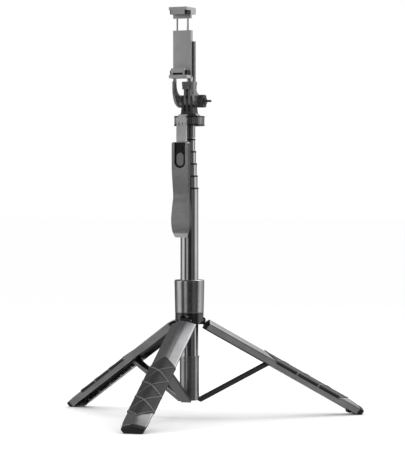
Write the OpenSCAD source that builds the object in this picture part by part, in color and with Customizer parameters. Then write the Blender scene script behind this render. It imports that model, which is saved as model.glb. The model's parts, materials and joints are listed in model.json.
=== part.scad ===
// Selfie stick with a folding tripod base.
// Three legs and three struts fold round a six-section mast. The head on top
// turns, carries a camera screw and a tilting yoke, and the yoke holds a phone
// clamp. A remote hangs on the head.
// Origin: on the floor, on the mast axis. +Z is up. -Y faces the user.
// All sizes are in millimetres and angles in degrees.

/* [Mast] */
// Outer diameter of the widest tube
tube_d = 23; // [22.8:0.1:23.2]
// Step in diameter from one tube to the next
tube_step = 2; // [1.9:0.05:2]
// Wall of every tube
tube_wall = 0.8; // [0.6:0.05:0.8]
// Height of the top of the widest tube's ring
ring_z = 296; // [290:1:300]
// Rise from one ring to the next with the mast closed
ring_pitch = 15.7; // [15:0.1:16]

/* [Tripod] */
// Direction of the first leg, from +X
leg_yaw = -82.4; // [-95:0.1:-65]
// Angle of an open leg from straight down
leg_open = 60.6; // [58:0.1:60.6]
// Length of a leg from its hinge to its tip
leg_len = 246; // [245:1:250]
// Height of the leg hinges
hinge_z = 125.5; // [125:0.5:126]
// Distance of the leg hinges from the mast axis
hinge_r = 16.2; // [16.1:0.1:16.3]
// Distance from the leg hinge to the strut pin, along the leg
strut_s = 106.5; // [105:0.5:107]
// Height of the strut pivots on the boot
boot_z = 24; // [24:0.5:26]

/* [Head] */
// Height of the tilt bolt
bolt_z = 407; // [406.8:0.1:407.4]
// Radius of the round base of the head
disc_r = 19.7; // [19.4:0.1:19.8]
// Major radius of the camera screw
stud_r = 3.175; // [3.1:0.005:3.2]

/* [Phone clamp] */
// Height of the clamp's turning axis
turn_z = 473; // [472:0.5:474]
// Clear height between the pads
phone_gap = 71.5; // [66:0.5:80]
// Half the width of the clamp
clamp_w = 12.5; // [11.5:0.5:12.5]

/* [Remote] */
// Height of the top edge of the remote
remote_z = 354; // [352:0.5:354]
// Half the width of the remote at the top
remote_w = 11.5; // [11.3:0.1:12]

/* [Hidden] */
$fn = 64;
SECTIONS = 6;
run = 0.05;                        // radial play of a running fit
// mast
ring_h = 2.2;
ring_lip = 1;
ring_proud = 0.4;
tube_z0 = 26;                      // bottom of tube 1
tube_lift = 9;                     // rise from one tube's bottom to the next
bush_flange = 2;
bush_up = 5;
bush_t = 1.2;
function tube_r(i) = tube_d / 2 - (i - 1) * tube_step / 2;
function tube_bottom(i) = i == 1 ? tube_z0 : tube_z0 + 1 + tube_lift * (i - 1);
function ring_top(i) = ring_z + ring_pitch * (i - 1);
function tube_top(i) = i == SECTIONS ? 374 : ring_top(i) - ring_lip;
// tripod
LEGS = 3;
cover_s0 = 8.6;                    // where the leg's cover starts
cover_s1 = 239;
taper_s = 224;                     // where it starts to taper to the tip
ridge_u = 6.4;                     // ridge of the cover's roof
eave_u = -0.1;                     // lower edges of the roof
eave_y = 17.3;
wall_u = -8;                       // feet of the two side walls
wall_y = 12.6;
cover_wall = 1.8;
side_wall = 1.5;
rail_s0 = 90;                      // where the frame's rails start
grip_s0 = 92.5;
grip_s1 = 222.5;
grip_point = 17;                   // how far the grip's upper end runs to a point
grip_tail = 14.5;                  // how far its lower end does
grip_gap = 0.06;
grip_t = 1.2;
foot_s0 = 239.3;
strut_u = -2.4;                    // strut pin, inward from the hinge line
boot_r = 14.2;                     // strut pivot from the mast axis
pin_r = hinge_r + strut_s * sin(leg_open) + strut_u * cos(leg_open);
pin_z = hinge_z - strut_s * cos(leg_open) + strut_u * sin(leg_open);
strut_tilt = atan2(pin_r - boot_r, pin_z - boot_z);
strut_len = norm([pin_r - boot_r, pin_z - boot_z]);
strut_w = 6.5;                     // half width of a strut
strut_wall = 1.5;
strut_in = -1.6;                   // open edge of the channel
strut_web = 2.15;                  // inner face of the web
strut_out = 3.15;
strut_end = 2.4;
strut_pin_r = 1.25;
boot_pin_r = 1.1;
boot_top = 79.4;
boot_outer = 12.5;
lug_r = 2;
lug_w = 4.4;
hub_z0 = 120.5;
hub_z1 = 135;
collar_z1 = 177.5;
hub_r = 18.3;
slot_w = 6.5;                      // half width of a hinge slot
eye_r = 4;
leg_pin_r = 1.5;
// head
disc_z0 = 375.3;
disc_z1 = 388;
rim_h = 1.8;
prong_t = 3;
prong_pitch = 6.2;
prong_round = 7.5;
bolt_r = 2.5;
bolt_x1 = 17;                      // end of the bolt, inside the knob
arm_in = 12.1;
arm_out = 15.1;
plate_y0 = -16.9;                  // front face of the yoke's plate
plate_y1 = -13;
platform_z = 422.5;
wheel_z = 427.5;
wheel_top = 432.2;
// clamp
clamp_z0 = 435.4;
jaw_t = 4;
jaw_y0 = -35.4;
lip_t = 2.2;
pad_z0 = clamp_z0 + jaw_t;
grip_z0 = 445.5;                   // top of the lower pad
grip_z1 = grip_z0 + phone_gap;     // underside of the upper pad
jaw_z1 = grip_z1 + 9.3;
jaw_back = -7;                     // back of the upper jaw's head
lip_w = 9.5;                       // half width of the jaws' front lips
house_y0 = -22.6;
house_y1 = -18.9;
house_top = 497;
cover_y1 = -17.2;
rod_x = 7.5;
rod_y = -20.8;
rod_r = 1.3;
// remote
part_y = -23.5;                    // parting plane of the two shells
part_gap = 0.1;
back_y = -21;
recess_w = 7.5;
recess_y = -26.3;
recess_z = remote_z - 33.3;
tongue_z = remote_z - 4.5;
button_z = remote_z - 22;
cell_z = remote_z - 92;
cell_r = 8;
cell_y = -25.4;                    // front of the coin cell

// ---- helpers ----

function mix(a, b, t) = a + (b - a) * t;
function smooth(t) = let (c = min(1, max(0, t))) c * c * (3 - 2 * c);
function bezier(a, b, c, t) = mix(mix(a, b, t), mix(b, c, t), t);
function curve(a, b, c, n) = [for (i = [0:n]) bezier(a, b, c, i / n)];

// Faces of a grid of points; each pair of neighbouring rows is a strip
function grid_faces(rows, cols, base, flip) = [
    for (i = [0:rows - 2], j = [0:cols - 2])
        let (a = base + i * cols + j, b = a + 1, c = a + cols, d = c + 1)
        each flip ? [[a, c, b], [b, c, d]] : [[a, b, c], [b, d, c]]
];

// Strip of faces that joins an outer edge to the inner edge n points on
function edge_faces(ids, n) = [
    for (i = [0:len(ids) - 2])
        let (a = ids[i], b = ids[i + 1])
        each [[b, a, a + n], [b, a + n, b + n]]
];

// Shell between two grids of points, outer and inner, of the same size
module sheet(outer, inner) {
    rows = len(outer);
    cols = len(outer[0]);
    n = rows * cols;
    polyhedron(
        points = concat([for (r = outer) each r], [for (r = inner) each r]),
        faces = concat(
            grid_faces(rows, cols, 0, false),
            grid_faces(rows, cols, n, true),
            edge_faces([for (j = [0:cols - 1]) j], n),
            edge_faces([for (j = [cols - 1:-1:0]) n - cols + j], n),
            edge_faces([for (i = [rows - 1:-1:0]) i * cols], n),
            edge_faces([for (i = [0:rows - 1]) i * cols + cols - 1], n)));
}

// Solid through a stack of closed convex loops of the same size
module loft(loops) {
    m = len(loops[0]);
    last = len(loops) - 1;
    polyhedron(
        points = [for (l = loops) each l],
        faces = concat(
            [for (j = [1:m - 2]) [0, j, j + 1]],
            [for (j = [1:m - 2]) [last * m, last * m + j + 1, last * m + j]],
            [for (i = [0:last - 1], j = [0:m - 1])
                let (a = i * m + j, b = i * m + (j + 1) % m)
                each [[a, a + m, b], [b, a + m, b + m]]]));
}

module tube(r_out, r_in, z0, z1) {
    translate([0, 0, z0]) difference() {
        cylinder(r = r_out, h = z1 - z0);
        translate([0, 0, -1]) cylinder(r = r_in, h = z1 - z0 + 2);
    }
}

module disc(r, z0, z1) {
    translate([0, 0, z0]) cylinder(r = r, h = z1 - z0);
}

// Box between two corners
module block(a, b) {
    translate(a) cube(b - a);
}

// Extrudes a (y, z) outline along X
module along_x(x0, x1) {
    translate([x0, 0, 0]) rotate([90, 0, 90]) linear_extrude(x1 - x0) children();
}

// Extrudes an (x, z) outline along Y
module along_y(y0, y1) {
    translate([0, y1, 0]) rotate([90, 0, 0]) linear_extrude(y1 - y0) children();
}

module rod_x(r, x0, x1, y, z) {
    translate([x0, y, z]) rotate([0, 90, 0]) cylinder(r = r, h = x1 - x0);
}

module rod_y(r, y0, y1, x, z) {
    translate([x, y1, z]) rotate([90, 0, 0]) cylinder(r = r, h = y1 - y0);
}

// Leg space: x outward from the hinge line, y along the hinge, z up the leg
module at_leg(k) {
    rotate([0, 0, leg_yaw + 360 / LEGS * (k - 1)])
        translate([hinge_r, 0, hinge_z]) rotate([0, -leg_open, 0]) children();
}

// Strut space: origin at the boot pivot, z up to the pin in the leg
module at_strut(k) {
    rotate([0, 0, leg_yaw + 360 / LEGS * (k - 1)])
        translate([boot_r, 0, boot_z]) rotate([0, strut_tilt, 0]) children();
}

// ---- hub ----

module hub_collar() {
    foot_r = 18.4;
    top_r = 19.3;
    lip = 1.2;
    color([0.30, 0.30, 0.32]) difference() {
        rotate_extrude() polygon([
            [tube_r(1) + 3, hub_z1], [foot_r, hub_z1], [top_r, collar_z1 - lip],
            [top_r - lip, collar_z1], [tube_r(1) + run, collar_z1],
            [tube_r(1) + run, collar_z1 - 6], [tube_r(1) + 3, collar_z1 - 9]]);
    }
}

module hub_body() {
    slot_top = 131;
    color([0.10, 0.10, 0.11]) difference() {
        union() {
            disc(hub_r, hub_z0, hub_z1);
            disc(tube_r(1) + 2.9, hub_z1, collar_z1 - 12);
        }
        disc(tube_r(1) + run, hub_z0 - 1, collar_z1);
        for (k = [1:LEGS]) rotate([0, 0, leg_yaw + 360 / LEGS * (k - 1)]) {
            block([tube_r(1) - 1, -slot_w, hub_z0 - 1], [hub_r + 2, slot_w, slot_top]);
            rod_y(leg_pin_r, -hub_r, hub_r, hinge_r, hinge_z);
        }
    }
}

module leg_pins() {
    pin_half = 8.2;
    color([0.55, 0.55, 0.57]) for (k = [1:LEGS])
        rotate([0, 0, leg_yaw + 360 / LEGS * (k - 1)])
            rod_y(leg_pin_r, -pin_half, pin_half, hinge_r, hinge_z);
}

// ---- legs ----

// Across the leg the cover is a shallow roof with two leaning side walls, so
// that three folded legs close round the mast. Its last part tapers slightly.
function taper(s) = smooth((s - taper_s) / (leg_len - taper_s));
function ridge(s) = ridge_u - 2.2 * taper(s);
function eave(s) = eave_y - 1.3 * taper(s);
wall_lean = (eave_y - wall_y) / (eave_u - wall_u);

// One row across the cover from wall foot to wall foot, as [u, y]. The roof is
// moved in by roof_in and the walls by wall_in, and r sizes the rounding.
function section_row(s, roof_in, wall_in, r) =
    let (fall = (ridge(s) - eave_u) / eave(s),
         top = ridge(s) - roof_in * norm([1, fall]),
         side = eave(s) - wall_in * norm([1, wall_lean]),
         y = (side + wall_lean * (top - eave_u)) / (1 + wall_lean * fall),
         corner = [top - fall * y, y],
         on_wall = corner - r * [1, wall_lean] / norm([1, wall_lean]),
         on_roof = corner + r * [fall, -1] / norm([1, fall]),
         foot = [wall_u, side - wall_lean * (eave_u - wall_u)],
         ridge_half = 3,
         half = concat([foot], curve(on_wall, corner, on_roof, 4)),
         crown = curve([top - fall * ridge_half, -ridge_half], [top, 0],
                       [top - fall * ridge_half, ridge_half], 4))
    concat([for (p = half) [p[0], -p[1]]], crown,
           [for (i = [len(half) - 1:-1:0]) half[i]]);

function at_s(row, s) = [for (p = row) [p[0], p[1], -s]];

module leg_cover(k) {
    rows = [cover_s0, taper_s, 229, 234, cover_s1];
    color([0.32, 0.32, 0.34]) at_leg(k)
        sheet([for (s = rows) at_s(section_row(s, 0, 0, 2.4), s)],
              [for (s = rows) at_s(section_row(s, cover_wall, side_wall, 1.2), s)]);
}

module leg_grip(k) {
    color([0.08, 0.08, 0.09]) at_leg(k)
        sheet([for (e = [0, 1]) grip_row(e, grip_gap + grip_t)],
              [for (e = [0, 1]) grip_row(e, grip_gap)]);
}

// End of the grip, which runs to a point on the ridge
function grip_row(e, lift) =
    let (row = section_row(grip_s0, -lift, -lift, 2.4 + lift), last = len(row) - 2)
    [for (j = [1:last])
        let (t = abs(row[j][1]) / eave_y,
             s = e == 0 ? grip_s0 + grip_point * t : grip_s1 - grip_tail * t)
        [row[j][0], row[j][1], -s]];

module leg_frame(k) {
    spine_w = 6.2;
    bar_s = rail_s0 + 6;
    rail_in = 9;
    rail_out = 10.6;
    rail_u0 = -4.2;
    rail_u1 = -2.2;
    rib_out = 12.7;
    cheek_in = 6.8;
    cheek_out = 8.6;
    cheek_r = 2.7;
    color([0.16, 0.16, 0.17]) at_leg(k) difference() {
        union() {
            rod_y(eye_r, -slot_w + 0.25, slot_w - 0.25, 0, 0);
            block([-4, -spine_w, -bar_s], [-1, spine_w, 0]);
            block([rail_u0, -rail_out, -bar_s], [rail_u1, rail_out, -rail_s0]);
            block([rail_u0, -rail_out, -230], [rail_u1, rail_out, -226]);
            for (m = [0, 1]) mirror([0, m, 0]) {
                block([rail_u0, rail_in, -228], [rail_u1, rail_out, -rail_s0]);
                block([rail_u0, cheek_in, -strut_s], [rail_u1 + 1.2, cheek_out, -rail_s0 - 1]);
                rod_y(cheek_r, cheek_in, cheek_out, strut_u, -strut_s);
                for (s = [115:25:215])
                    block([-4.6, rail_in, -s - 1.5], [-3.4, rib_out, -s]);
            }
        }
        rod_y(leg_pin_r + run, -slot_w, slot_w, 0, 0);
        rod_y(strut_pin_r, -rail_in, rail_in, strut_u, -strut_s);
    }
}

// Cross-section of the foot at s, drawn in about its middle by f
function foot_loop(s, f) =
    let (mid = -1.5)
    [for (p = section_row(s, 0, 0, 3)) [mid + (p[0] - mid) * f, p[1] * f, -s]];

module leg_foot(k) {
    floor_size = 600;
    nub_s = 231;
    nub_u = -8.2;
    nub_w = 6;
    nub_r = 2.8;
    color([0.05, 0.05, 0.05]) difference() {
        at_leg(k) {
            loft([foot_loop(leg_len, 0.86), foot_loop(leg_len - 1, 0.95),
                  foot_loop(leg_len - 2.8, 1), foot_loop(foot_s0, 1)]);
            rod_y(nub_r, -nub_w, nub_w, nub_u, -nub_s);
            block([nub_u - 0.6, -nub_w, -foot_s0 - 2], [nub_u + 2.2, nub_w, -nub_s]);
        }
        translate([0, 0, -floor_size / 2]) cube(floor_size, center = true);
    }
}

// ---- struts and boot ----

module strut_side() {
    translate([strut_in, 0]) square([strut_out - strut_in, strut_len]);
    for (z = [0, strut_len]) {
        translate([0, z]) circle(r = strut_end);
        translate([0, z - lug_r]) square([strut_out, 2 * lug_r]);
    }
}

module strut(k) {
    inner_w = strut_w - strut_wall;
    color([0.13, 0.13, 0.14]) at_strut(k) difference() {
        along_y(-strut_w, strut_w) strut_side();
        block([-9, -inner_w, -9], [strut_web, inner_w, strut_len + 9]);
        rod_y(strut_pin_r + run, -strut_w - 1, strut_w + 1, 0, strut_len);
    }
}

module strut_pin(k) {
    color([0.6, 0.6, 0.62]) at_leg(k)
        rod_y(strut_pin_r, -8.6, 8.6, strut_u, -strut_s);
}

module boot() {
    lip_h = 2;
    color([0.16, 0.16, 0.17]) difference() {
        union() {
            disc(boot_outer, boot_z - 1.5, boot_top);
            disc(boot_outer + 0.4, boot_top - lip_h, boot_top);
            for (k = [1:LEGS]) rotate([0, 0, leg_yaw + 360 / LEGS * (k - 1)]) {
                rod_y(lug_r, -lug_w, lug_w, boot_r, boot_z);
                block([10, -lug_w, boot_z - lug_r], [boot_r, lug_w, boot_z + lug_r]);
            }
        }
        disc(tube_r(1), tube_z0, boot_top + 1);
        for (k = [1:LEGS]) rotate([0, 0, leg_yaw + 360 / LEGS * (k - 1)])
            rod_y(boot_pin_r, -9, 9, boot_r, boot_z);
    }
}

module boot_pins() {
    color([0.6, 0.6, 0.62]) for (k = [1:LEGS])
        rotate([0, 0, leg_yaw + 360 / LEGS * (k - 1)])
            rod_y(boot_pin_r, -lug_w - 0.4, lug_w + 0.4, boot_r, boot_z);
}

// ---- mast ----

module mast_tube(i) {
    dimple_r = 1.6;
    dimple_deep = 0.35;
    r = tube_r(i);
    color([0.30, 0.30, 0.32]) difference() {
        tube(r, r - tube_wall, tube_bottom(i), tube_top(i));
        if (i < SECTIONS) for (x = [-1, 1])
            translate([x * (r + dimple_r - dimple_deep), 0, ring_top(i) - 6])
                sphere(r = dimple_r);
    }
}

module guides(i) {
    r = tube_r(i);
    z = tube_bottom(i);
    color([0.06, 0.06, 0.07]) {
        if (i < SECTIONS) {
            tube(r + ring_proud, r, ring_top(i) - ring_h, ring_top(i) - ring_lip);
            tube(r + ring_proud, tube_r(i + 1) + run, ring_top(i) - ring_lip, ring_top(i));
        }
        if (i > 1) {
            inner = r - tube_wall - bush_t;
            tube(tube_r(i - 1) - tube_wall - run, inner, z - bush_flange, z);
            tube(r - tube_wall, inner, z, z + bush_up);
        }
    }
}

// ---- head ----

module head_socket() {
    sleeve_r = 7.6;
    post_r = 6;
    color([0.09, 0.09, 0.10]) difference() {
        union() {
            disc(sleeve_r, 360.2, disc_z0 + 1);
            disc(disc_r, disc_z0, disc_z0 + rim_h);
            disc(post_r, disc_z0, disc_z1 - rim_h - 0.3);
        }
        disc(tube_r(SECTIONS), 350, tube_top(SECTIONS));
        disc(1.6, tube_top(SECTIONS) + 2, disc_z1);
    }
}

module swivel_ring() {
    flutes = 48;
    flute_r = 0.5;
    ring_r = disc_r - 0.3;
    color([0.36, 0.36, 0.38]) difference() {
        tube(ring_r, 6.3, disc_z0 + rim_h + 0.1, disc_z1 - rim_h);
        for (i = [0:flutes - 1]) rotate([0, 0, 360 / flutes * i])
            translate([ring_r + 0.2, 0, disc_z0]) cylinder(r = flute_r, h = disc_z1 - disc_z0);
    }
}

module prong_side() {
    translate([0, bolt_z]) circle(r = prong_round);
    polygon([[-8.2, 391], [8.2, 391], [prong_round, 401], [prong_round, bolt_z],
             [-prong_round, bolt_z], [-prong_round, 401]]);
}

module prong_mount() {
    slot_floor = 394;
    half = prong_pitch + prong_t / 2;
    color([0.22, 0.22, 0.23]) difference() {
        union() {
            disc(disc_r, disc_z1 - rim_h, disc_z1);
            translate([0, 0, disc_z1]) cylinder(r1 = 15, r2 = 11.3, h = 3.2);
            intersection() {
                along_x(-9, 9) prong_side();
                along_y(-9, 9) polygon([[-8.4, 391], [8.4, 391], [half, 400], [half, 415],
                                        [-half, 415], [-half, 400]]);
            }
        }
        for (x = [-1, 1]) translate([x * prong_pitch / 2, 0, 0])
            block([-(prong_pitch - prong_t) / 2, -10, slot_floor],
                  [(prong_pitch - prong_t) / 2, 10, 420]);
        rod_x(bolt_r + run, -9, 9, 0, bolt_z);
        disc(1.65, disc_z0, 394);
        disc(3.2, 391, 396);
    }
}

module swivel_screw() {
    color([0.6, 0.6, 0.62]) {
        disc(1.6, 380, 391);
        disc(3.1, 391, 393.2);
    }
}

module thumb_knob() {
    knob_r = 8.5;
    x0 = 15.4;
    x1 = 21.5;
    lobes = 6;
    tab_t = 1.3;
    tab_w = 3;
    tab_x = 27.6;
    color([0.12, 0.12, 0.13]) difference() {
        union() {
            rod_x(knob_r, x0, x1, 0, bolt_z);
            rod_x(4.4, x1 - 1, x1 + 2, 0, bolt_z);
            block([x1 - 1, -tab_w, bolt_z - tab_t], [tab_x, tab_w, bolt_z + tab_t]);
            translate([tab_x, 0, bolt_z - tab_t]) cylinder(r = tab_w + 0.3, h = 2 * tab_t);
        }
        for (i = [0:lobes - 1])
            translate([0, 0, bolt_z]) rotate([360 / lobes * i, 0, 0])
                translate([0, 0, -bolt_z]) rod_x(3, x0 - 1, x1 + 1, 0, bolt_z + knob_r + 1.6);
        rod_x(bolt_r, x0 - 1, bolt_x1, 0, bolt_z);
        translate([tab_x, 0, bolt_z - 5]) cylinder(r = 1.25, h = 10);
    }
}

module thumb_bolt() {
    color([0.6, 0.6, 0.62]) rod_x(bolt_r, -18.9, bolt_x1, 0, bolt_z);
}

module lock_nut() {
    color([0.5, 0.5, 0.52]) difference() {
        translate([-18.6, 0, bolt_z]) rotate([0, 90, 0]) cylinder(r = 4.6, h = 3.4, $fn = 6);
        rod_x(bolt_r + run, -20, -14, 0, bolt_z);
    }
}

module adapter_side() {
    r = 7.3;
    translate([0, bolt_z]) circle(r = r);
    translate([-r, bolt_z]) square([2 * r, platform_z - bolt_z]);
}

module camera_adapter() {
    platform_r = 9.3;
    notches = 12;
    color([0.42, 0.42, 0.44]) difference() {
        union() {
            for (x = [-4.6, 1.6]) along_x(x, x + prong_t) adapter_side();
            disc(platform_r, platform_z, wheel_z - 0.1);
        }
        rod_x(bolt_r + run, -9, 9, 0, bolt_z);
        disc(2.8, platform_z - 1.5, wheel_z);
        for (i = [0:notches - 1]) rotate([0, 0, 360 / notches * i])
            translate([platform_r + 0.6, 0, platform_z - 1]) cylinder(r = 1.5, h = 10);
    }
}

module camera_screw() {
    color([0.75, 0.75, 0.77]) {
        disc(2.8, platform_z - 1.5, wheel_z - 0.1);
        disc(3, wheel_z - 0.1, wheel_top);
        disc(stud_r, wheel_top, wheel_top + 5.4);
    }
}

module camera_wheel() {
    wheel_r = 9.7;
    lobes = 12;
    color([0.35, 0.35, 0.37]) difference() {
        disc(wheel_r, wheel_z, wheel_top);
        disc(3 + run, wheel_z - 1, wheel_top + 1);
        for (i = [0:lobes - 1]) rotate([0, 0, 360 / lobes * (i + 0.5)])
            translate([wheel_r + 0.8, 0, wheel_z - 1]) cylinder(r = 1.8, h = 10);
    }
}

// ---- yoke and clamp ----

// Curved arm that runs from the bolt forward and up to the plate
module arm_side() {
    n = 10;
    front = -19.6;
    back = -12.9;
    top = turn_z + 10;
    translate([0, bolt_z]) circle(r = 8);
    polygon(concat(
        curve([front, bolt_z + 17], [front, bolt_z - 5], [0, bolt_z - 8.2], n),
        curve([0, bolt_z + 7.8], [-11.5, bolt_z + 9], [back, bolt_z + 21], n),
        [[back, top], [plate_y0, top], [plate_y0, bolt_z + 25], [front, bolt_z + 25]]));
}

module yoke() {
    window_z = 438;
    color([0.38, 0.38, 0.40]) difference() {
        union() {
            for (m = [0, 1]) mirror([m, 0, 0]) {
                along_x(arm_in, arm_out) arm_side();
                rod_x(8, prong_pitch + prong_t / 2 + 0.3, arm_out, 0, bolt_z);
            }
            block([-arm_out, plate_y0, window_z], [arm_out, plate_y1, turn_z + 10]);
        }
        rod_x(bolt_r + run, -arm_out - 1, arm_out + 1, 0, bolt_z);
        rod_y(bolt_r + run, plate_y0 - 1, plate_y1 + 1, 0, turn_z);
    }
}

module clamp_body() {
    slot_z = pad_z0 + 0.2;
    slot_half = 7;
    color([0.62, 0.62, 0.64]) difference() {
        union() {
            block([-clamp_w, jaw_y0, clamp_z0], [clamp_w, house_y1, pad_z0]);
            block([-lip_w, jaw_y0, pad_z0 - 1], [lip_w, jaw_y0 + lip_t, grip_z0 + 2.5]);
            block([-clamp_w, house_y0, pad_z0], [clamp_w, house_y1, house_top]);
        }
        block([-slot_half, jaw_y0 - 1, slot_z], [slot_half, jaw_y0 + lip_t, slot_z + 2.6]);
        for (x = [-rod_x, rod_x])
            translate([x, rod_y, pad_z0 + 2]) cylinder(r = rod_r + run, h = 60);
        rod_y(bolt_r, house_y0 + 0.8, house_y1 + 1, 0, turn_z);
    }
}

module clamp_cover() {
    color([0.14, 0.14, 0.15]) difference() {
        union() {
            block([-clamp_w, house_y1, pad_z0], [clamp_w, cover_y1, house_top]);
            rod_y(10, cover_y1, plate_y0 - 0.05, 0, turn_z);
        }
        rod_y(bolt_r, house_y1 - 1, plate_y0, 0, turn_z);
    }
}

module clamp_pivot() {
    head_h = 2.4;
    color([0.6, 0.6, 0.62]) {
        rod_y(bolt_r, house_y0 + 0.8, plate_y1 + 0.1, 0, turn_z);
        rod_y(5, plate_y1 + 0.1, plate_y1 + head_h, 0, turn_z);
    }
}

module jaw_rods() {
    color([0.7, 0.7, 0.72]) for (x = [-rod_x, rod_x])
        translate([x, rod_y, 456]) cylinder(r = rod_r, h = jaw_z1 - 1 - 456);
}

module upper_jaw() {
    color([0.62, 0.62, 0.64]) difference() {
        union() {
            block([-clamp_w, jaw_y0, jaw_z1 - jaw_t], [clamp_w, house_y1, jaw_z1]);
            block([-lip_w, jaw_y0, grip_z1 - 0.3], [lip_w, jaw_y0 + lip_t, jaw_z1 - 1]);
            block([-clamp_w, house_y0, grip_z1 + 1], [clamp_w, jaw_back, jaw_z1]);
            block([-clamp_w, house_y0, jaw_z1 - 14], [clamp_w, house_y1, jaw_z1 - 1]);
        }
        for (x = [-rod_x, rod_x])
            translate([x, rod_y, jaw_z1 - 30]) cylinder(r = rod_r, h = 29);
    }
}

// Pad with shallow ribs across its gripping face
module pad(z_back, z_face) {
    ribs = 5;
    y0 = jaw_y0 + lip_t;
    pitch = (house_y0 - y0) / ribs;
    up = sign(z_face - z_back);
    color([0.04, 0.04, 0.04]) along_x(-clamp_w + 0.5, clamp_w - 0.5) polygon(concat(
        [[house_y0, z_back], [y0, z_back], [y0, z_face]],
        [for (i = [0:ribs - 1]) each [
            [y0 + pitch * (i + 0.35), z_face], [y0 + pitch * (i + 0.5), z_face - up * 0.8],
            [y0 + pitch * (i + 0.65), z_face]]],
        [[house_y0, z_face]]));
}

module lower_pad() {
    pad(pad_z0, grip_z0);
}

module upper_pad() {
    pad(jaw_z1 - jaw_t, grip_z1);
}

// ---- remote ----

module hanger() {
    bar_w = 6.7;
    bar_y0 = -25.7;
    bar_y1 = -21.5;
    bar_z0 = remote_z + 0.3;
    bar_z1 = 385.6;
    hook_w = 5;
    hook_y = -15.4;
    hook_t = 1.4;
    color([0.45, 0.45, 0.47]) difference() {
        union() {
            block([-bar_w, bar_y0, bar_z0], [bar_w, bar_y1, bar_z1]);
            block([-6.3, -24.7, tongue_z], [6.3, -21.8, bar_z0 + 1]);
            block([-hook_w, -23, bar_z1 - 1], [hook_w, -20.4, disc_z1 + hook_t]);
            block([-hook_w, -23, disc_z1], [hook_w, hook_y, disc_z1 + hook_t]);
        }
        for (x = [-bar_w, -2.6, 2.6, bar_w])
            block([x - 0.65, bar_y0 - 1, 375], [x + 0.65, bar_y0 + 1.5, 379]);
    }
}

// Front outline of the remote, half of it, from the top to the bottom
module remote_outline() {
    n = 8;
    side = concat(
        [[remote_w - 1.5, remote_z], [remote_w, remote_z - 1.5], [remote_w, remote_z - 36]],
        curve([remote_w, remote_z - 36], [remote_w - 0.8, remote_z - 62], [11, remote_z - 72], n),
        curve([11, remote_z - 72], [12, remote_z - 80], [13.2, remote_z - 96], n),
        curve([13.2, remote_z - 96], [13, remote_z - 117], [8, remote_z - 122], n));
    polygon(concat(side, [for (i = [len(side) - 1:-1:0]) [-side[i][0], side[i][1]]]));
}

// Side outline of the remote's front face, closed at the parting plane
module remote_side() {
    n = 8;
    polygon(concat(
        [[part_y - part_gap, remote_z], [-28.4, remote_z], [-29.2, remote_z - 1.2],
         [-29.2, remote_z - 29]],
        curve([-29.2, remote_z - 29], [-28.6, remote_z - 50], [-25.9, remote_z - 66], n),
        curve([-25.9, remote_z - 66], [-26.4, remote_z - 80], [-27.6, remote_z - 102], n),
        curve([-27.6, remote_z - 102], [-27.8, remote_z - 116], [-24.6, remote_z - 122], n),
        [[part_y - part_gap, remote_z - 122]]));
}

module tongue_pocket() {
    block([-6.4, -24.8, tongue_z - 0.5], [6.4, -21.7, remote_z + 1]);
}

module remote_front() {
    board_y = -25.3;
    color([0.26, 0.26, 0.28]) difference() {
        intersection() {
            along_x(-20, 20) remote_side();
            along_y(-40, -10) remote_outline();
        }
        block([-recess_w, -40, recess_z + 7], [recess_w, recess_y, remote_z + 1]);
        rod_y(recess_w, -40, recess_y, 0, recess_z + recess_w);
        block([-8.5, board_y, remote_z - 55], [8.5, -20, tongue_z - 2]);
        rod_y(cell_r + 0.2, cell_y - 0.1, -20, 0, cell_z);
        rod_y(1.8, -30, -20, 0, button_z);
        tongue_pocket();
    }
}

module remote_back() {
    color([0.12, 0.12, 0.13]) difference() {
        along_y(part_y + part_gap, back_y) remote_outline();
        tongue_pocket();
    }
}

// Stadium standing on end, centred on the shutter button
module button_outline(half_w, half_h) {
    for (z = [-1, 1]) translate([0, button_z + z * (half_h - half_w)]) circle(r = half_w);
    translate([-half_w, button_z - half_h + half_w])
        square([2 * half_w, 2 * (half_h - half_w)]);
}

module remote_panel() {
    edge = 0.1;
    face_y = recess_y - 0.5;
    lamp_z = remote_z - 8;
    color([0.03, 0.03, 0.03]) {
        difference() {
            union() {
                block([-recess_w + edge, face_y, recess_z + recess_w],
                      [recess_w - edge, recess_y, remote_z - 0.5]);
                rod_y(recess_w - edge, face_y, recess_y, 0, recess_z + recess_w);
            }
            along_y(-40, -20) button_outline(5.1, 8.4);
        }
        rod_y(2.9, face_y - 0.8, face_y, 0, lamp_z);
    }
}

module shutter_button() {
    color([0.2, 0.2, 0.21]) {
        along_y(-28.4, -27.2) button_outline(4.8, 8.1);
        rod_y(1.5, -27.2, -26.2, 0, button_z);
    }
}

module remote_board() {
    color([0.05, 0.25, 0.12]) block([-8, -25.2, remote_z - 54], [8, -24.2, tongue_z - 2.5]);
}

module coin_cell() {
    color([0.8, 0.8, 0.8]) rod_y(cell_r, cell_y, -23.6, 0, cell_z);
}

hub_collar();
hub_body();
leg_pins();
leg_cover(1);  // leg_cover_1
leg_cover(2);  // leg_cover_2
leg_cover(3);  // leg_cover_3
leg_frame(1);  // leg_frame_1
leg_frame(2);  // leg_frame_2
leg_frame(3);  // leg_frame_3
leg_grip(1);  // leg_grip_1
leg_grip(2);  // leg_grip_2
leg_grip(3);  // leg_grip_3
leg_foot(1);  // leg_foot_1
leg_foot(2);  // leg_foot_2
leg_foot(3);  // leg_foot_3
strut(1);  // strut_1
strut(2);  // strut_2
strut(3);  // strut_3
strut_pin(1);  // strut_pin_1
strut_pin(2);  // strut_pin_2
strut_pin(3);  // strut_pin_3
boot();
boot_pins();
mast_tube(1);  // tube_1
mast_tube(2);  // tube_2
mast_tube(3);  // tube_3
mast_tube(4);  // tube_4
mast_tube(5);  // tube_5
mast_tube(6);  // tube_6
guides(1);  // guides_1
guides(2);  // guides_2
guides(3);  // guides_3
guides(4);  // guides_4
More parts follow.
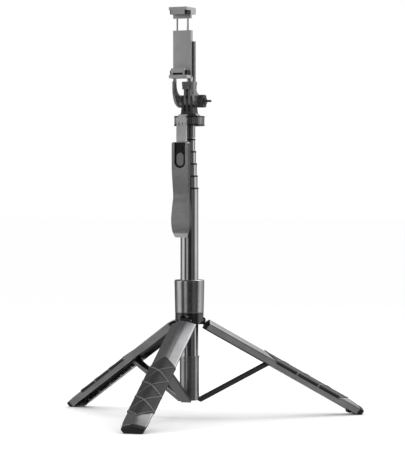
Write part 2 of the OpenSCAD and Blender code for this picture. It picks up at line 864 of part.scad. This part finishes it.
guides(5);  // guides_5
guides(6);  // guides_6
head_socket();
swivel_ring();
prong_mount();
swivel_screw();
thumb_knob();
thumb_bolt();
lock_nut();
camera_adapter();
camera_screw();
camera_wheel();
yoke();
clamp_body();
clamp_cover();
jaw_rods();
upper_jaw();
lower_pad();
upper_pad();
clamp_pivot();
hanger();
remote_front();
remote_back();
remote_panel();
shutter_button();
remote_board();
coin_cell();
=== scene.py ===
"""Selfie stick on a folding tripod: materials, visible skins and the studio round it."""
import json
import math

import bmesh
import bpy
from mathutils import Matrix, Vector


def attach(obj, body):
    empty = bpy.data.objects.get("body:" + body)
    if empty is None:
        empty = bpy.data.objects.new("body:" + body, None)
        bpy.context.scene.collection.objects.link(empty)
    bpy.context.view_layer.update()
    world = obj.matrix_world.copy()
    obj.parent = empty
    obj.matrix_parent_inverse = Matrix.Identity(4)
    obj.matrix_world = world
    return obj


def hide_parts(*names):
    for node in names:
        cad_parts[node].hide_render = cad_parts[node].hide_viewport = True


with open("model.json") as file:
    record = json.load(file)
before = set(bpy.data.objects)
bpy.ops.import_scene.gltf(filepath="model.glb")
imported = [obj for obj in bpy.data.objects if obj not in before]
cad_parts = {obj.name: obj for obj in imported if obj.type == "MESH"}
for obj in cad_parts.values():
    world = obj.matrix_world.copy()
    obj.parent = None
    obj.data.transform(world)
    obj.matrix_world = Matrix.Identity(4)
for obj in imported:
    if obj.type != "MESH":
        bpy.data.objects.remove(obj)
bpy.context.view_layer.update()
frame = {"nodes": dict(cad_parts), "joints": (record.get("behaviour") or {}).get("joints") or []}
NODES = frame["nodes"]
JOINTS = {j["name"]: j for j in frame["joints"]}
MM = 0.001
LEGS = (1, 2, 3)


# ---- small maths ----

def mix(a, b, t):
    return a + (b - a) * t


def smooth(t):
    t = min(1.0, max(0.0, t))
    return t * t * (3 - 2 * t)


def steps(low, high, count):
    return [mix(low, high, i / (count - 1)) for i in range(count)]


def round_off(distance, radius):
    """How far a surface drops at a distance from its edge, for a rounded edge of that radius."""
    if distance >= radius:
        return 0.0
    reach = radius - max(0.0, distance)
    return radius - math.sqrt(max(0.0, radius * radius - reach * reach))


# ---- node materials ----

def new_material(name):
    material = bpy.data.materials.new(name)
    material.use_nodes = True
    nodes = material.node_tree.nodes
    nodes.clear()
    output = nodes.new("ShaderNodeOutputMaterial")
    shader = nodes.new("ShaderNodeBsdfPrincipled")
    material.node_tree.links.new(shader.outputs["BSDF"], output.inputs["Surface"])
    return material, nodes, material.node_tree.links, shader


def noise(nodes, links, scale, detail=4.0, stretch=(1, 1, 1)):
    """Noise in the object's own space. scale is in features per metre."""
    place = nodes.new("ShaderNodeTexCoord")
    mapping = nodes.new("ShaderNodeMapping")
    mapping.inputs["Scale"].default_value = stretch
    texture = nodes.new("ShaderNodeTexNoise")
    texture.inputs["Scale"].default_value = scale
    texture.inputs["Detail"].default_value = detail
    links.new(place.outputs["Object"], mapping.inputs["Vector"])
    links.new(mapping.outputs["Vector"], texture.inputs["Vector"])
    return texture.outputs["Fac"]


def ramp(nodes, links, source, low, high, start=0.3, stop=0.7, style="LINEAR"):
    """Maps a value between start and stop onto low to high, which are numbers or colours."""
    node = nodes.new("ShaderNodeMapRange")
    node.interpolation_type = style
    if isinstance(low, tuple):
        node.data_type = "FLOAT_VECTOR"
        for name, value in (("From Min", (start,) * 3), ("From Max", (stop,) * 3),
                            ("To Min", low), ("To Max", high)):
            sockets = [s for s in node.inputs if s.name == name and s.type == "VECTOR"]
            sockets[0].default_value = value
        vector_in = [s for s in node.inputs if s.name == "Vector"][0]
        links.new(source, vector_in)
        return node.outputs["Vector"]
    for name, value in (("From Min", start), ("From Max", stop), ("To Min", low), ("To Max", high)):
        node.inputs[name].default_value = value
    links.new(source, node.inputs["Value"])
    return node.outputs["Result"]


def maths(nodes, links, operation, first, second):
    """A maths node. Either input can be a number or another node's output."""
    node = nodes.new("ShaderNodeMath")
    node.operation = operation
    for socket, value in zip(node.inputs, (first, second)):
        if isinstance(value, (int, float)):
            socket.default_value = value
        else:
            links.new(value, socket)
    return node.outputs[0]


def add_bump(nodes, links, shader, height, strength, distance, under=None):
    """Bumps the surface, on top of the normal that under gives, if any."""
    bump = nodes.new("ShaderNodeBump")
    bump.inputs["Strength"].default_value = strength
    bump.inputs["Distance"].default_value = distance
    links.new(height, bump.inputs["Height"])
    if under is not None:
        links.new(under, bump.inputs["Normal"])
    links.new(bump.outputs["Normal"], shader.inputs["Normal"])


def add_wear(nodes, links, colour, edge_colour, amount):
    """Lightens convex edges a little, as handling does."""
    flat, convex = 0.505, 0.56
    geometry = nodes.new("ShaderNodeNewGeometry")
    worn = ramp(nodes, links, geometry.outputs["Pointiness"], 0.0, amount, flat, convex)
    blend = nodes.new("ShaderNodeMix")
    blend.data_type = "RGBA"
    sockets = {s.identifier: s for s in blend.inputs}
    links.new(worn, sockets["Factor_Float"])
    links.new(colour, sockets["A_Color"])
    sockets["B_Color"].default_value = (*edge_colour, 1)
    return [s for s in blend.outputs if s.identifier == "Result_Color"][0]


def tint(colour, factor):
    return tuple(min(1.0, c * factor) for c in colour)


def metal(name, colour, rough, grain, stretch=(1, 1, 1), bump=0.05, metallic=1.0):
    """Anodised or coated metal: uneven tone, fine grain in the roughness and the bump."""
    material, nodes, links, shader = new_material(name)
    shader.inputs["Metallic"].default_value = metallic
    cloud = noise(nodes, links, 40, 3)
    fine = noise(nodes, links, grain, 5, stretch)
    shade = ramp(nodes, links, cloud, tint(colour, 0.88), tint(colour, 1.12))
    worn = add_wear(nodes, links, shade, tint(colour, 2.2), 0.25)
    links.new(worn, shader.inputs["Base Color"])
    links.new(ramp(nodes, links, fine, rough * 0.8, rough * 1.25), shader.inputs["Roughness"])
    add_bump(nodes, links, shader, fine, bump, 0.0001)
    return material


def plastic(name, colour, rough, coat=0.0):
    """Moulded plastic: spark-eroded grain, slightly uneven tone and sheen."""
    material, nodes, links, shader = new_material(name)
    shader.inputs["Coat Weight"].default_value = coat
    shader.inputs["Coat Roughness"].default_value = 0.18
    cloud = noise(nodes, links, 60, 3)
    fine = noise(nodes, links, 1800, 3)
    shade = ramp(nodes, links, cloud, tint(colour, 0.85), tint(colour, 1.15))
    worn = add_wear(nodes, links, shade, tint(colour, 2.0), 0.2)
    links.new(worn, shader.inputs["Base Color"])
    links.new(ramp(nodes, links, fine, rough * 0.85, rough * 1.15), shader.inputs["Roughness"])
    add_bump(nodes, links, shader, fine, 0.15, 0.00015)
    return material


def rubber(name, colour, rough, bump=0.5):
    """Soft rubber: pebbled surface with a dull sheen."""
    material, nodes, links, shader = new_material(name)
    shader.inputs["Specular IOR Level"].default_value = 0.35
    shader.inputs["Sheen Weight"].default_value = 0.15
    shader.inputs["Sheen Roughness"].default_value = 0.4
    place = nodes.new("ShaderNodeTexCoord")
    cells = nodes.new("ShaderNodeTexVoronoi")
    cells.inputs["Scale"].default_value = 1400
    links.new(place.outputs["Object"], cells.inputs["Vector"])
    cloud = noise(nodes, links, 70, 4)
    shade = ramp(nodes, links, cloud, tint(colour, 0.75), tint(colour, 1.3))
    links.new(shade, shader.inputs["Base Color"])
    pebble = cells.outputs["Distance"]
    links.new(ramp(nodes, links, pebble, rough, min(1.0, rough * 1.3), 0.0, 0.6),
              shader.inputs["Roughness"])
    add_bump(nodes, links, shader, pebble, bump, 0.00012)
    return material


# The remote's grooved waist lies between these heights, in metres.
GROOVES_LOW, GROOVES_HIGH = 0.264, 0.288
GROOVES_FADE = 0.002
GROOVES_SCALE = 140


def grooved(material):
    """Adds fine level grooves to the remote's waist, cut into its bump."""
    nodes, links = material.node_tree.nodes, material.node_tree.links
    place = nodes.new("ShaderNodeTexCoord")
    wave = nodes.new("ShaderNodeTexWave")
    wave.bands_direction = "Z"
    wave.inputs["Scale"].default_value = GROOVES_SCALE
    links.new(place.outputs["Object"], wave.inputs["Vector"])
    parts = nodes.new("ShaderNodeSeparateXYZ")
    links.new(place.outputs["Object"], parts.inputs["Vector"])
    height = parts.outputs["Z"]
    above = ramp(nodes, links, height, 0.0, 1.0, GROOVES_LOW, GROOVES_LOW + GROOVES_FADE)
    below = ramp(nodes, links, height, 1.0, 0.0, GROOVES_HIGH - GROOVES_FADE, GROOVES_HIGH)
    band = maths(nodes, links, "MULTIPLY", above, below)
    cut = maths(nodes, links, "MULTIPLY", band, wave.outputs["Fac"])
    shader = [n for n in nodes if n.type == "BSDF_PRINCIPLED"][0]
    grain = shader.inputs["Normal"].links[0].from_socket
    add_bump(nodes, links, shader, cut, 0.5, 0.0003, grain)
    return material


ALONG_Z = (1, 1, 0.02)             # draws the grain out up and down a part
MATERIALS = {
    "collar": metal("collar_metal", (0.36, 0.36, 0.37), 0.18, 1500, ALONG_Z, bump=0.03,
                    metallic=0.97),
    "hub_black": plastic("hub_black_plastic", (0.006, 0.006, 0.007), 0.16, coat=0.5),
    "tube": metal("tube_metal", (0.34, 0.34, 0.35), 0.15, 1500, ALONG_Z, bump=0.03),
    "ring": plastic("ring_black", (0.006, 0.006, 0.007), 0.3),
    "leg": metal("leg_metal", (0.36, 0.36, 0.37), 0.33, 1300, ALONG_Z, bump=0.04, metallic=0.97),
    "leg_inner": plastic("leg_inner_plastic", (0.007, 0.007, 0.008), 0.4),
    "grip": rubber("grip_rubber", (0.012, 0.012, 0.013), 0.34),
    "grip_rib": rubber("grip_rib_rubber", (0.11, 0.11, 0.115), 0.32, bump=0.2),
    "leg_rail": plastic("leg_rail_plastic", (0.55, 0.55, 0.56), 0.4),
    "foot": rubber("foot_rubber", (0.006, 0.006, 0.006), 0.4),
    "strut": metal("strut_coat", (0.13, 0.13, 0.135), 0.3, 1600, bump=0.12, metallic=0.9),
    "boot": metal("boot_satin", (0.30, 0.30, 0.31), 0.2, 1500, ALONG_Z, bump=0.03, metallic=0.9),
    "head": plastic("head_plastic", (0.028, 0.028, 0.03), 0.3),
    "head_dark": plastic("head_dark_plastic", (0.007, 0.007, 0.008), 0.2, coat=0.4),
    "head_ring": metal("head_ring_metal", (0.26, 0.26, 0.27), 0.22, 1500, ALONG_Z),
    "adapter": plastic("adapter_plastic", (0.10, 0.10, 0.105), 0.28, coat=0.2),
    "steel": metal("turned_steel", (0.50, 0.50, 0.51), 0.22, 2200, bump=0.08),
    "yoke": metal("yoke_coat", (0.30, 0.30, 0.31), 0.24, 1500, bump=0.1, metallic=0.85),
    "clamp": metal("clamp_metal", (0.62, 0.62, 0.63), 0.3, 1500, bump=0.08, metallic=0.9),
    "clamp_dark": plastic("clamp_dark_plastic", (0.008, 0.008, 0.009), 0.35),
    "pad": rubber("pad_rubber", (0.006, 0.006, 0.006), 0.5),
    "remote": grooved(metal("remote_satin", (0.60, 0.60, 0.61), 0.20, 1700, bump=0.1,
                            metallic=0.9)),
    "hanger": metal("hanger_satin", (0.58, 0.58, 0.59), 0.4, 1700, bump=0.1, metallic=0.9),
    "remote_dark": plastic("remote_dark_plastic", (0.006, 0.006, 0.007), 0.25, coat=0.4),
    "button": plastic("button_plastic", (0.09, 0.09, 0.095), 0.3, coat=0.3),
    "board": plastic("board_green", (0.02, 0.12, 0.05), 0.4),
}


# ---- carried-over CAD nodes ----

SAME_POINT = 0.00001


def soften(piece, width, segments, angle, harden=True):
    """Rounds the edges of a piece that are sharper than an angle in degrees."""
    bevel = piece.modifiers.new("soften", "BEVEL")
    bevel.width = width * MM
    bevel.segments = segments
    bevel.limit_method = "ANGLE"
    bevel.angle_limit = math.radians(angle)
    bevel.harden_normals = harden


def even_normals(piece):
    normals = piece.modifiers.new("normals", "WEIGHTED_NORMAL")
    normals.keep_sharp = True


def dress(node, material, bevel):
    """Gives a CAD node its material and softens its sharp edges."""
    piece = NODES[node]
    piece.data.materials.clear()
    piece.data.materials.append(MATERIALS[material])
    for face in piece.data.polygons:
        face.use_smooth = True
        face.material_index = 0
    weld = piece.modifiers.new("weld", "WELD")
    weld.merge_threshold = SAME_POINT
    if bevel:
        soften(piece, bevel, 3, 35)
    even_normals(piece)


def paint(node, material, chosen):
    """Gives the faces of a CAD node that chosen(centre, normal) picks a second material."""
    mesh = NODES[node].data
    mesh.materials.append(MATERIALS[material])
    slot = len(mesh.materials) - 1
    for face in mesh.polygons:
        if chosen(face.center, face.normal):
            face.material_index = slot


# Where one piece changes its material, in metres.
SLEEVE_TOP = 0.3748                # the head's socket is tube metal up to here
RIM_TOP = 0.3884                   # the head's rim is black up to here
SHELL_EDGE = -0.0245               # the remote's front shell is dark behind this
SIDEWAYS = 0.8                     # and where its faces look this much sideways


def dress_all():
    """Every CAD node that stays in view: its material and the rounding of its edges in mm."""
    rows = (
        ("hub_collar", "collar", 0.5), ("hub_body", "hub_black", 0.4),
        ("leg_pins", "steel", 0.2), ("boot", "boot", 0.3), ("boot_pins", "steel", 0.2),
        ("head_socket", "head_dark", 0.4), ("prong_mount", "head", 0.45),
        ("swivel_screw", "steel", 0.2), ("thumb_knob", "head", 0.5),
        ("thumb_bolt", "steel", 0.3), ("lock_nut", "steel", 0.3),
        ("camera_adapter", "adapter", 0.35), ("camera_screw", "steel", 0.25),
        ("camera_wheel", "adapter", 0.4), ("yoke", "yoke", 0.6),
        ("clamp_body", "clamp", 0.5), ("clamp_cover", "clamp_dark", 0.5),
        ("jaw_rods", "steel", 0.2), ("upper_jaw", "clamp", 0.5),
        ("lower_pad", "pad", 0.15), ("upper_pad", "pad", 0.15),
        ("clamp_pivot", "steel", 0.3), ("hanger", "hanger", 0.4),
        ("remote_front", "remote", 0.7), ("remote_back", "remote_dark", 0.7),
        ("remote_panel", "remote_dark", 0.1), ("shutter_button", "button", 0.5),
        ("remote_board", "board", 0.1), ("coin_cell", "steel", 0.3),
        ("swivel_ring", "head_ring", 0.15),
    )
    for node, material, bevel in rows:
        dress(node, material, bevel)
    for k in LEGS:
        dress(f"leg_frame_{k}", "leg_inner", 0.25)
        dress(f"strut_{k}", "strut", 0.4)
        dress(f"strut_pin_{k}", "steel", 0.3)
        dress(f"leg_foot_{k}", "foot", 0.6)
    for i in range(1, 7):
        dress(f"tube_{i}", "tube", 0)
        dress(f"guides_{i}", "ring", 0.2)
    paint("head_socket", "tube", lambda centre, normal: centre.z < SLEEVE_TOP)
    paint("prong_mount", "head_dark", lambda centre, normal: centre.z < RIM_TOP)
    paint("remote_front", "remote_dark",
          lambda centre, normal: abs(normal.x) > SIDEWAYS or centre.y > SHELL_EDGE)


# ---- new meshes ----

def add_object(name, data):
    """Puts a mesh, camera or lamp into the scene."""
    thing = bpy.data.objects.new(name, data)
    bpy.context.scene.collection.objects.link(thing)
    return thing


def place_mesh(mesh, material, place):
    """Puts a mesh into the scene with smooth faces, one material and a place."""
    for face in mesh.polygons:
        face.use_smooth = True
    mesh.materials.append(MATERIALS[material])
    piece = add_object(mesh.name, mesh)
    piece.matrix_world = place
    return piece


def make_piece(name, points, faces, material, place):
    """A smooth piece from points in millimetres."""
    mesh = bpy.data.meshes.new(name)
    mesh.from_pydata([Vector(p) * MM for p in points], [], faces)
    mesh.validate()
    return place_mesh(mesh, material, place)


def shell(outer, inner):
    """Points and faces of a closed sheet between two grids of the same size."""
    rows, cols = len(outer), len(outer[0])
    n = rows * cols
    points = [p for row in outer for p in row] + [p for row in inner for p in row]
    faces = []
    for i in range(rows - 1):
        for j in range(cols - 1):
            a = i * cols + j
            faces.append((a, a + cols, a + cols + 1, a + 1))
            faces.append((a + n, a + n + 1, a + n + cols + 1, a + n + cols))
    rim = list(range(cols)) + [i * cols + cols - 1 for i in range(1, rows)]
    rim += [n - 1 - j for j in range(1, cols)] + [i * cols for i in range(rows - 2, 0, -1)]
    for i, a in enumerate(rim):
        b = rim[(i + 1) % len(rim)]
        faces.append((a, b, b + n, a + n))
    return points, faces


# ---- legs ----

# Measures of a leg are in millimetres: u outward, y across, s down from the hinge.
LEG_OPEN = math.radians(60.6)
COVER_S0, COVER_S1 = 8.6, 239.0
TAPER_S, TIP_S = 224.0, 246.0
TIP_LOWER, TIP_NARROWER = 2.2, 1.3
RIDGE_U, EAVE_U, EAVE_Y = 6.4, -0.1, 17.3
WALL_U, WALL_Y = -8.0, 12.6
WALL_LEAN = (EAVE_Y - WALL_Y) / (EAVE_U - WALL_U)
ROOF_T, WALL_T = 1.8, 1.5
CORNER_R = 2.4                     # rounding of the lower edges of the roof
CROWN = 6.0                        # rounding of its ridge, to each side
GRIP_S0, GRIP_S1 = 92.5, 222.5
GRIP_POINT, GRIP_TAIL = 17.0, 14.5
GRIP_GAP, GRIP_T = 0.06, 1.2
KITES = 4


def leg_place(k):
    """Leg space: x outward from the hinge line, y along the hinge, z up the leg."""
    joint = JOINTS[f"leg_{k}_fold"]
    yaw = math.atan2(-joint["axis"][0], joint["axis"][1])
    return (Matrix.Translation(joint["pos_m"]) @ Matrix.Rotation(yaw, 4, "Z")
            @ Matrix.Rotation(-LEG_OPEN, 4, "Y"))


def bezier(a, b, c, t):
    return tuple(mix(mix(p, q, t), mix(q, r, t), t) for p, q, r in zip(a, b, c))


def section(s, roof_in, wall_in, corner, fine):
    """One row over a leg from wall foot to wall foot: two side walls and a shallow roof.

    roof_in and wall_in are how far the row lies inside the skin, in mm.
    """
    taper = smooth((s - TAPER_S) / (TIP_S - TAPER_S))
    ridge, eave = RIDGE_U - TIP_LOWER * taper, EAVE_Y - TIP_NARROWER * taper
    fall = (ridge - EAVE_U) / eave
    top = ridge - roof_in * math.hypot(1, fall)
    side = eave - wall_in * math.hypot(1, WALL_LEAN)
    y = (side + WALL_LEAN * (top - EAVE_U)) / (1 + WALL_LEAN * fall)
    peak = (top - fall * y, y)
    lean, slope = math.hypot(1, WALL_LEAN), math.hypot(1, fall)
    on_wall = (peak[0] - corner / lean, peak[1] - corner * WALL_LEAN / lean)
    on_roof = (peak[0] + corner * fall / slope, peak[1] - corner / slope)
    foot = (WALL_U, side - WALL_LEAN * (EAVE_U - WALL_U))
    wall = [(mix(foot[0], on_wall[0], t), mix(foot[1], on_wall[1], t)) for t in steps(0, 1, 6)]
    bend = [bezier(on_wall, peak, on_roof, t) for t in steps(0, 1, 2 * fine)][1:]
    start = (top - fall * CROWN, CROWN)
    roof = [(mix(on_roof[0], start[0], t), mix(on_roof[1], start[1], t))
            for t in steps(0, 1, 4 * fine)][1:]
    half = wall + bend + roof
    crown = [bezier((start[0], -CROWN), (top, 0), start, t) for t in steps(0, 1, 2 * fine)][1:-1]
    return [(u, -y) for u, y in half] + crown + half[::-1]


def make_skin(k):
    """Folded skin of a leg, with softened edges at its feet and at both ends."""
    edge, inner_corner = 0.5, 1.2
    rows = [COVER_S0 + d for d in (0, 0.15, edge)]
    rows += steps(12, TAPER_S, 36) + steps(226, 238, 8)
    rows += [COVER_S1 - d for d in (edge, 0.15, 0)]
    outer, inner = [], []
    for s in rows:
        drop = round_off(min(s - COVER_S0, COVER_S1 - s), edge)
        outer.append([(u, y, -s) for u, y in section(s, drop, drop, CORNER_R, 6)])
        inner.append([(u, y, -s) for u, y in section(s, ROOF_T, WALL_T, inner_corner, 6)])
    points, faces = shell(outer, inner)
    piece = make_piece(f"leg_skin_{k}", points, faces, "leg", leg_place(k))
    soften(piece, 0.3, 2, 50, harden=False)
    even_normals(piece)
    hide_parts(f"leg_cover_{k}")
    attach(piece, f"leg_{k}")


def box_at(bm, low, high):
    """Box in leg space between two corners given as (u, y, s)."""
    middle = [(a + b) / 2 for a, b in zip(low, high)]
    size = [abs(b - a) for a, b in zip(low, high)]
    place = Matrix.Translation(Vector((middle[0], middle[1], -middle[2])) * MM)
    stretch = Matrix.Diagonal((size[0] * MM, size[1] * MM, size[2] * MM, 1))
    bmesh.ops.create_cube(bm, size=1, matrix=place @ stretch)


def make_side_rails(k):
    """Rails inside the two side walls, with a rib every 25 mm."""
    rails = ((-7.6, 1.1), (-2.0, 1.4))
    rail_s0, rail_s1, rail_t, rail_sunk = 99, 232, 0.7, 0.2
    rib_s0, rib_pitch, rib_t = 102.5, 25, 1.2
    rib_u0, rib_u1, rib_sunk, rib_depth = -7.4, -1.6, 0.4, 0.8
    wall_in = EAVE_Y - WALL_T * math.hypot(1, WALL_LEAN)
    bm = bmesh.new()
    for side in (-1, 1):
        for u, depth in rails:
            y = wall_in - WALL_LEAN * (EAVE_U - u)
            box_at(bm, (u, side * (y + rail_sunk), rail_s0),
                   (u + rail_t, side * (y - depth), rail_s1))
        y = wall_in - WALL_LEAN * (EAVE_U - rib_u0)
        for i in range(6):
            s = rib_s0 + rib_pitch * i
            box_at(bm, (rib_u0, side * (y + rib_sunk), s),
                   (rib_u1, side * (y - rib_depth), s + rib_t))
    mesh = bpy.data.meshes.new(f"leg_side_{k}")
    bm.to_mesh(mesh)
    bm.free()
    piece = place_mesh(mesh, "leg_rail", leg_place(k))
    soften(piece, 0.18, 2, 30)
    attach(piece, f"leg_{k}")


def rib_height(s, y):
    """Height, 0 to 1, of the ribs that run in kites down the grip and meet on the ridge."""
    pitch = (GRIP_S1 - GRIP_S0) / KITES
    side = min(1.0, abs(y) / EAVE_Y)
    width = 1.5
    nearest = width
    for i in range(KITES + 1):
        node = GRIP_S0 + pitch * i
        for reach in (GRIP_POINT, GRIP_POINT - pitch):
            slope = reach / EAVE_Y
            away = abs(s - node - reach * side) / math.sqrt(1 + slope * slope)
            nearest = min(nearest, away)
    return 0.5 * (1 + math.cos(math.pi * nearest / width))


def make_grip(k):
    """Soft pad over the skin with raised ribs. Its ends run to points on the ridge."""
    rib_up, rib_marked = 0.45, 0.45
    edge, thinnest = 0.5, 0.05
    rows = 331
    wall_points = 5                # the pad leaves out this many points of each wall
    corner, fine = CORNER_R + GRIP_T, 12
    lifted = -GRIP_GAP - GRIP_T
    base = section(GRIP_S0, -GRIP_GAP, -GRIP_GAP, corner, fine)[wall_points:-wall_points]
    full = section(GRIP_S0, lifted, lifted, corner, fine)[wall_points:-wall_points]
    outer, inner, ribs = [], [], []
    for e in steps(0, 1, rows):
        front, back = [], []
        for low, high in zip(base, full):
            t = abs(high[1]) / EAVE_Y
            s = mix(GRIP_S0 + GRIP_POINT * t, GRIP_S1 - GRIP_TAIL * t, e)
            length = GRIP_S1 - GRIP_S0 - (GRIP_POINT + GRIP_TAIL) * t
            rim = min(math.dist(full[0], high), math.dist(full[-1], high))
            margin = min(rim, e * length, (1 - e) * length)
            up = rib_height(s, high[1])
            lift = GRIP_T - rib_up * (1 - up) - round_off(margin, edge)
            part = max(thinnest, lift) / GRIP_T
            front.append((mix(low[0], high[0], part), mix(low[1], high[1], part), -s))
            back.append((low[0], low[1], -s))
            ribs.append(up)
        outer.append(front)
        inner.append(back)
    points, faces = shell(outer, inner)
    piece = make_piece(f"leg_pad_{k}", points, faces, "grip", leg_place(k))
    piece.data.materials.append(MATERIALS["grip_rib"])
    for face in piece.data.polygons:
        marks = [ribs[v] for v in face.vertices if v < len(ribs)]
        if marks and sum(marks) / len(marks) > rib_marked:
            face.material_index = 1
    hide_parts(f"leg_grip_{k}")
    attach(piece, f"leg_{k}")


# ---- studio ----

CAMERA_YAW = math.radians(25)
CAMERA_AWAY = 3.08
CAMERA_UP = 0.28
CAMERA_LENS = 188
CAMERA_SHIFT = (0.0286, -0.0633)
FLOOR_SIZE = 60
LIGHTS_AIM = Vector((0, 0, 0.25))


def make_camera():
    data = bpy.data.cameras.new("camera")
    data.sensor_width = 36
    data.lens = CAMERA_LENS
    data.shift_x, data.shift_y = CAMERA_SHIFT
    data.clip_end = 100
    camera = add_object("camera", data)
    camera.location = (math.sin(CAMERA_YAW) * CAMERA_AWAY, -math.cos(CAMERA_YAW) * CAMERA_AWAY,
                       CAMERA_UP)
    camera.rotation_euler = (math.pi / 2, 0, CAMERA_YAW)
    bpy.context.scene.camera = camera


def make_floor():
    bpy.ops.mesh.primitive_plane_add(size=FLOOR_SIZE, location=(0, 0, 0))
    floor = bpy.context.object
    floor.name = "floor"
    material, nodes, links, shader = new_material("floor_pale")
    cloud = noise(nodes, links, 3, 2)
    links.new(ramp(nodes, links, cloud, (0.985, 0.985, 0.985), (0.992, 0.992, 0.992)),
              shader.inputs["Base Color"])
    shader.inputs["Roughness"].default_value = 0.9
    shader.inputs["Specular IOR Level"].default_value = 0.0
    floor.data.materials.append(material)
    floor.visible_glossy = False


def make_light(name, yaw, height, away, size, power):
    """Soft box at a bearing from the camera's side, aimed at the middle of the object."""
    data = bpy.data.lights.new(name, "AREA")
    data.shape = "RECTANGLE"
    data.size, data.size_y = size
    data.energy = power
    light = add_object(name, data)
    bearing = CAMERA_YAW + math.radians(yaw)
    light.location = (math.sin(bearing) * away, -math.cos(bearing) * away, height)
    toward = LIGHTS_AIM - light.location
    light.rotation_euler = toward.to_track_quat("-Z", "Y").to_euler()


# Brightness of the studio walls as reflections see them, by bearing from the
# camera: dark flags and bright strips, the way bands run down the metal tubes.
STRIPS = (
    (-180, 0.10), (-140, 0.16), (-114, 0.32), (-100, 1.20), (-74, 1.15), (-62, 0.14),
    (-44, 0.05), (-37, 0.80), (-26, 0.75), (-17, 0.14), (-6, 0.03), (20, 0.02),
    (28, 0.17), (48, 0.17), (57, 0.07), (67, 0.12), (80, 0.95), (97, 1.30),
    (111, 0.80), (138, 0.50), (160, 0.15), (180, 0.10),
)
BOX_DIRECTION = (0.50, 0.50, 0.707)
BOX_EDGE = (0.77, 0.87)            # cosines of the angle from BOX_DIRECTION
SKY_EDGE = (0.22, 0.38)            # the other edges are sines of the height
SKIRT_EDGE = (-0.20, -0.09)
FLOOR_EDGE = (-0.46, -0.34)
BOX_BRIGHT, SKY_DIM = 1.0, 0.16
SKIRT_DARK, FLOOR_GREY = 0.06, 0.42


def make_world():
    world = bpy.data.worlds.new("studio")
    bpy.context.scene.world = world
    world.use_nodes = True
    nodes, links = world.node_tree.nodes, world.node_tree.links
    nodes.clear()
    output = nodes.new("ShaderNodeOutputWorld")
    place = nodes.new("ShaderNodeTexCoord")
    turn = nodes.new("ShaderNodeVectorRotate")
    turn.rotation_type = "Z_AXIS"
    turn.inputs["Angle"].default_value = -CAMERA_YAW
    links.new(place.outputs["Generated"], turn.inputs["Vector"])
    parts = nodes.new("ShaderNodeSeparateXYZ")
    links.new(turn.outputs["Vector"], parts.inputs["Vector"])

    def work(operation, first, second):
        return maths(nodes, links, operation, first, second)

    def blend(factor, first, second):
        rest = work("MULTIPLY", first, work("SUBTRACT", 1.0, factor))
        return work("ADD", rest, work("MULTIPLY", second, factor))

    def span(source, low, high, edge):
        return ramp(nodes, links, source, low, high, *edge, style="SMOOTHSTEP")

    toward = work("MULTIPLY", parts.outputs["Y"], -1.0)
    bearing = work("ARCTAN2", parts.outputs["X"], toward)
    where = work("ADD", work("DIVIDE", bearing, 2 * math.pi), 0.5)
    bands = nodes.new("ShaderNodeValToRGB")
    elements = bands.color_ramp.elements
    for degrees, value in STRIPS[1:-1]:
        elements.new(degrees / 360 + 0.5)
    for element, (degrees, value) in zip(elements, STRIPS):
        element.color = (value, value, value, 1)
    links.new(where, bands.inputs["Fac"])

    # A soft box high up at the back on the right, dim sky round it, a dark
    # skirting just under the horizon and the floor's grey below.
    facing = nodes.new("ShaderNodeVectorMath")
    facing.operation = "DOT_PRODUCT"
    links.new(turn.outputs["Vector"], facing.inputs[0])
    facing.inputs[1].default_value = BOX_DIRECTION
    above = span(facing.outputs["Value"], SKY_DIM, BOX_BRIGHT, BOX_EDGE)
    upper = span(parts.outputs["Z"], 0.0, 1.0, SKY_EDGE)
    skirt = span(parts.outputs["Z"], 1.0, 0.0, SKIRT_EDGE)
    lower = span(parts.outputs["Z"], 1.0, 0.0, FLOOR_EDGE)
    around = blend(skirt, blend(upper, bands.outputs["Color"], above), SKIRT_DARK)
    walls_value = blend(lower, around, FLOOR_GREY)
    walls = nodes.new("ShaderNodeBackground")
    links.new(walls_value, walls.inputs["Color"])
    plain = nodes.new("ShaderNodeBackground")
    plain.inputs["Color"].default_value = (1, 1, 1, 1)
    path = nodes.new("ShaderNodeLightPath")
    choose = nodes.new("ShaderNodeMixShader")
    links.new(path.outputs["Is Glossy Ray"], choose.inputs["Fac"])
    links.new(plain.outputs[0], choose.inputs[1])
    links.new(walls.outputs[0], choose.inputs[2])
    links.new(choose.outputs[0], output.inputs["Surface"])


def make_studio():
    make_camera()
    make_floor()
    make_world()
    make_light("right_back_box", 140, 1.6, 1.2, (1.0, 0.7), 7)
    make_light("left_box", -75, 0.9, 1.5, (0.4, 1.2), 3)
    bpy.context.scene.view_settings.view_transform = "Standard"


make_studio()
dress_all()
for leg in LEGS:
    make_skin(leg)
    make_side_rails(leg)
    make_grip(leg)
